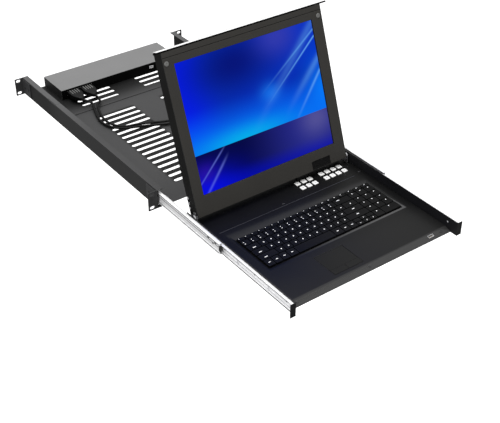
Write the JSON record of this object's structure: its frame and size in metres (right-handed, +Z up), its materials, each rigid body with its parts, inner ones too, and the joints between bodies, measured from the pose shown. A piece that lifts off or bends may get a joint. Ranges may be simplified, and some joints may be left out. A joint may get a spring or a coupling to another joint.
{
  "type": "rack console drawer",
  "caption": "Rack-mount console drawer: open tray on ball-bearing slides, keyboard and touchpad drawer, fold-down flat display and multi-port switch box.",
  "frame": {"origin": "centre of the four front rack holes, on the front face of the front rack ears, at the middle of the unit's height", "axes": "+Z up, +Y towards the back of the rack, +X to the right seen from the front"},
  "size_m": [0.4826, 1.0542, 0.3481],
  "materials": {
    "tray_steel": "fine-textured dark grey powder coat",
    "ear_black": "satin black powder coat",
    "box_grey": "satin mid grey paint",
    "box_black": "satin black paint",
    "bright_zinc": "bright zinc-plated steel",
    "socket_metal": "nickel-plated shells",
    "cage_steel": "dark stamped steel",
    "drawer_black": "satin black powder coat",
    "deck_black": "fine-grained black moulding",
    "key_black": "matt black keycaps",
    "pad_black": "smooth matt black",
    "button_white": "satin white",
    "board_green": "solder-resist green",
    "bezel_dark": "warm dark grey, lightly textured",
    "shell_dark": "warm dark grey paint",
    "trim_silver": "brushed, light",
    "screen": "lit panel behind an anti-glare face",
    "bumper_grey": "soft grey",
    "cable_black": "black cable jacket",
    "rocker_black": "gloss black"
  },
  "bodies": {
    "chassis": {"front_tray": "tray_steel", "rear_tray": "tray_steel", "front_rack_ears": "ear_black", "rear_rack_ears": "ear_black", "chassis_screws": "bright_zinc", "slide_outer_left": "bright_zinc", "slide_outer_right": "bright_zinc", "switch_case": "box_black", "switch_cover": "box_grey", "switch_board": "board_green", "host_ports": "socket_metal", "console_sockets": "socket_metal", "power_inlet": "rocker_black", "console_cable": "cable_black"},
    "power_rocker": {"power_rocker": "rocker_black"},
    "slide_middle": {"slide_middle_left": "bright_zinc", "slide_middle_right": "bright_zinc"},
    "cages_outer": {"ball_cages_outer": "cage_steel"},
    "cages_inner": {"ball_cages_inner": "cage_steel"},
    "drawer": {"slide_inners": "bright_zinc", "drawer_tray": "drawer_black", "keyboard_deck": "deck_black", "key_plate": "key_black", "touchpad": "pad_black", "control_board": "board_green", "front_usb_socket": "socket_metal", "hinge_brackets": "bright_zinc", "deck_screws": "bright_zinc"},
    "display": {"display_back": "shell_dark", "display_bezel": "bezel_dark", "display_lip": "ear_black", "front_panel_strip": "trim_silver", "lcd_panel": "screen", "display_board": "board_green", "hinge_arms": "bright_zinc", "hinge_screws": "bright_zinc", "bumpers": "bumper_grey"},
    "keys_row_1": {"keys_row_1": "key_black"},
    "keys_row_2": {"keys_row_2": "key_black"},
    "keys_row_3": {"keys_row_3": "key_black"},
    "keys_row_4": {"keys_row_4": "key_black"},
    "keys_row_5": {"keys_row_5": "key_black"},
    "keys_row_6": {"keys_row_6": "key_black"},
    "space_bar": {"space_bar": "key_black"},
    "menu_button_1": {"menu_button_1": "button_white"},
    "menu_button_2": {"menu_button_2": "button_white"},
    "menu_button_3": {"menu_button_3": "button_white"},
    "menu_button_4": {"menu_button_4": "button_white"},
    "menu_button_5": {"menu_button_5": "button_white"},
    "menu_button_6": {"menu_button_6": "button_white"},
    "port_button_1": {"port_button_1": "button_white"},
    "port_button_2": {"port_button_2": "button_white"},
    "port_button_3": {"port_button_3": "button_white"},
    "port_button_4": {"port_button_4": "button_white"},
    "port_button_5": {"port_button_5": "button_white"},
    "port_button_6": {"port_button_6": "button_white"},
    "port_button_7": {"port_button_7": "button_white"},
    "port_button_8": {"port_button_8": "button_white"},
    "touchpad_button_left": {"touchpad_button_left": "pad_black"},
    "touchpad_button_right": {"touchpad_button_right": "pad_black"}
  },
  "joints": [
    {"name": "drawer_slide", "type": "slide", "parent": "chassis", "child": "drawer", "axis": [0, 1, 0], "range_m": [0, 0.436], "deforming": ["console_cable"]},
    {"name": "display_hinge", "type": "hinge", "parent": "drawer", "child": "display", "pos_m": [0, -0.1031, 0.00245], "axis": [1, 0, 0], "range_deg": [-12, 109.5]},
    {"name": "slide_middle", "type": "slide", "parent": "chassis", "child": "slide_middle", "axis": [0, 1, 0], "range_m": [0, 0.218]},
    {"name": "ball_cages_outer", "type": "slide", "parent": "chassis", "child": "cages_outer", "axis": [0, 1, 0], "range_m": [0, 0.109]},
    {"name": "ball_cages_inner", "type": "slide", "parent": "chassis", "child": "cages_inner", "axis": [0, 1, 0], "range_m": [0, 0.327]},
    {"name": "power_rocker", "type": "hinge", "parent": "chassis", "child": "power_rocker", "pos_m": [0.122, 0.611, -0.0059], "axis": [1, 0, 0], "range_deg": [-8, 8]},
    {"name": "keys_row_1", "type": "slide", "parent": "drawer", "child": "keys_row_1", "axis": [0, 0, -1], "range_m": [0, 0.002], "stiffness_N_per_m": 300, "springref_m": -0.001},
    {"name": "keys_row_2", "type": "slide", "parent": "drawer", "child": "keys_row_2", "axis": [0, 0, -1], "range_m": [0, 0.002], "stiffness_N_per_m": 300, "springref_m": -0.001},
    {"name": "keys_row_3", "type": "slide", "parent": "drawer", "child": "keys_row_3", "axis": [0, 0, -1], "range_m": [0, 0.002], "stiffness_N_per_m": 300, "springref_m": -0.001},
    {"name": "keys_row_4", "type": "slide", "parent": "drawer", "child": "keys_row_4", "axis": [0, 0, -1], "range_m": [0, 0.002], "stiffness_N_per_m": 300, "springref_m": -0.001},
    {"name": "keys_row_5", "type": "slide", "parent": "drawer", "child": "keys_row_5", "axis": [0, 0, -1], "range_m": [0, 0.002], "stiffness_N_per_m": 300, "springref_m": -0.001},
    {"name": "keys_row_6", "type": "slide", "parent": "drawer", "child": "keys_row_6", "axis": [0, 0, -1], "range_m": [0, 0.002], "stiffness_N_per_m": 300, "springref_m": -0.001},
    {"name": "space_bar", "type": "slide", "parent": "drawer", "child": "space_bar", "axis": [0, 0, -1], "range_m": [0, 0.002], "stiffness_N_per_m": 150, "springref_m": -0.001},
    {"name": "menu_button_1", "type": "slide", "parent": "drawer", "child": "menu_button_1", "axis": [0, 0, -1], "range_m": [0, 0.001], "stiffness_N_per_m": 60, "springref_m": -0.0005},
    {"name": "menu_button_2", "type": "slide", "parent": "drawer", "child": "menu_button_2", "axis": [0, 0, -1], "range_m": [0, 0.001], "stiffness_N_per_m": 60, "springref_m": -0.0005},
    {"name": "menu_button_3", "type": "slide", "parent": "drawer", "child": "menu_button_3", "axis": [0, 0, -1], "range_m": [0, 0.001], "stiffness_N_per_m": 60, "springref_m": -0.0005},
    {"name": "menu_button_4", "type": "slide", "parent": "drawer", "child": "menu_button_4", "axis": [0, 0, -1], "range_m": [0, 0.001], "stiffness_N_per_m": 60, "springref_m": -0.0005},
    {"name": "menu_button_5", "type": "slide", "parent": "drawer", "child": "menu_button_5", "axis": [0, 0, -1], "range_m": [0, 0.001], "stiffness_N_per_m": 60, "springref_m": -0.0005},
    {"name": "menu_button_6", "type": "slide", "parent": "drawer", "child": "menu_button_6", "axis": [0, 0, -1], "range_m": [0, 0.001], "stiffness_N_per_m": 60, "springref_m": -0.0005},
    {"name": "port_button_1", "type": "slide", "parent": "drawer", "child": "port_button_1", "axis": [0, 0, -1], "range_m": [0, 0.001], "stiffness_N_per_m": 60, "springref_m": -0.0005},
    {"name": "port_button_2", "type": "slide", "parent": "drawer", "child": "port_button_2", "axis": [0, 0, -1], "range_m": [0, 0.001], "stiffness_N_per_m": 60, "springref_m": -0.0005},
    {"name": "port_button_3", "type": "slide", "parent": "drawer", "child": "port_button_3", "axis": [0, 0, -1], "range_m": [0, 0.001], "stiffness_N_per_m": 60, "springref_m": -0.0005},
    {"name": "port_button_4", "type": "slide", "parent": "drawer", "child": "port_button_4", "axis": [0, 0, -1], "range_m": [0, 0.001], "stiffness_N_per_m": 60, "springref_m": -0.0005},
    {"name": "port_button_5", "type": "slide", "parent": "drawer", "child": "port_button_5", "axis": [0, 0, -1], "range_m": [0, 0.001], "stiffness_N_per_m": 60, "springref_m": -0.0005},
    {"name": "port_button_6", "type": "slide", "parent": "drawer", "child": "port_button_6", "axis": [0, 0, -1], "range_m": [0, 0.001], "stiffness_N_per_m": 60, "springref_m": -0.0005},
    {"name": "port_button_7", "type": "slide", "parent": "drawer", "child": "port_button_7", "axis": [0, 0, -1], "range_m": [0, 0.001], "stiffness_N_per_m": 60, "springref_m": -0.0005},
    {"name": "port_button_8", "type": "slide", "parent": "drawer", "child": "port_button_8", "axis": [0, 0, -1], "range_m": [0, 0.001], "stiffness_N_per_m": 60, "springref_m": -0.0005},
    {"name": "touchpad_button_left", "type": "slide", "parent": "drawer", "child": "touchpad_button_left", "axis": [0, 0, -1], "range_m": [0, 0.0006], "stiffness_N_per_m": 60, "springref_m": -0.0005},
    {"name": "touchpad_button_right", "type": "slide", "parent": "drawer", "child": "touchpad_button_right", "axis": [0, 0, -1], "range_m": [0, 0.0006], "stiffness_N_per_m": 60, "springref_m": -0.0005}
  ],
  "couplings": [
    {"joint": "slide_middle", "follows": "drawer_slide", "ratio": 0.5},
    {"joint": "ball_cages_outer", "follows": "drawer_slide", "ratio": 0.25},
    {"joint": "ball_cages_inner", "follows": "drawer_slide", "ratio": 0.75}
  ]
}
